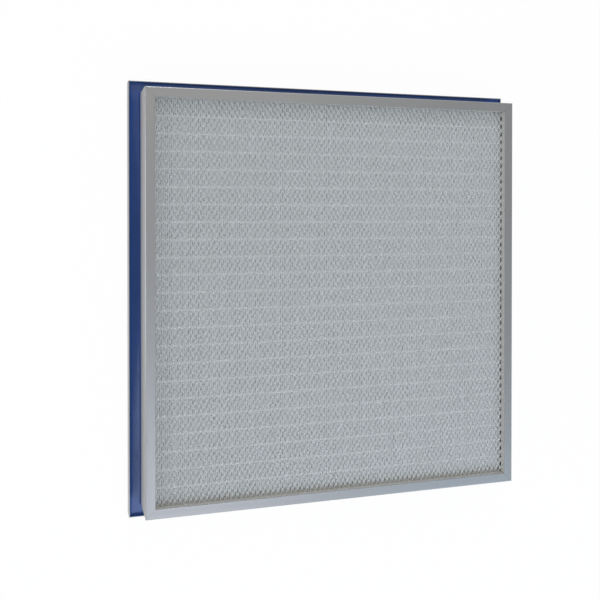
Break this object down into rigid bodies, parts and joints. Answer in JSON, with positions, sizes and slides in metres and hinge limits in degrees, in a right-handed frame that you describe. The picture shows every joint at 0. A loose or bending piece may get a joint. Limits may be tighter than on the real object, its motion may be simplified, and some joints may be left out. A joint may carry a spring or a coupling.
{
  "type": "hepa filter panel",
  "caption": "Pleated air filter panel in a hollow-lipped metal frame, with expanded metal guards over both faces and a trough of soft gel around the outside of its rear edge.",
  "frame": {"origin": "centre of the rear face, which it rests on when it lies flat", "axes": "+Z from the rear face to the guarded front face, +Y up the panel when it stands on edge as pictured, +X to the right seen from the front"},
  "size_m": [0.619, 0.645, 0.09],
  "materials": {
    "frame": "satin anodised extrusion with fine lengthwise draw lines",
    "gel": "soft glossy blue gel, level poured",
    "key": "plain cast",
    "guard": "thin satin light grey coat on expanded metal",
    "media": "matt white glass fibre paper",
    "glue": "smooth white hot melt",
    "potting": "cast polyurethane"
  },
  "bodies": {
    "root": {"frame_bottom": "frame", "frame_right": "frame", "frame_top": "frame", "frame_left": "frame", "gel_seal": "gel", "corner_key_rear_bottom_left": "key", "corner_key_rear_bottom_right": "key", "corner_key_rear_top_left": "key", "corner_key_rear_top_right": "key", "corner_key_front_bottom_left": "key", "corner_key_front_bottom_right": "key", "corner_key_front_top_left": "key", "corner_key_front_top_right": "key", "guard_front": "guard", "guard_rear": "guard", "media_pack": "media", "glue_beads_front": "glue", "glue_beads_rear": "glue", "potting_top": "potting", "potting_bottom": "potting", "potting_left": "potting", "potting_right": "potting"}
  },
  "joints": []
}
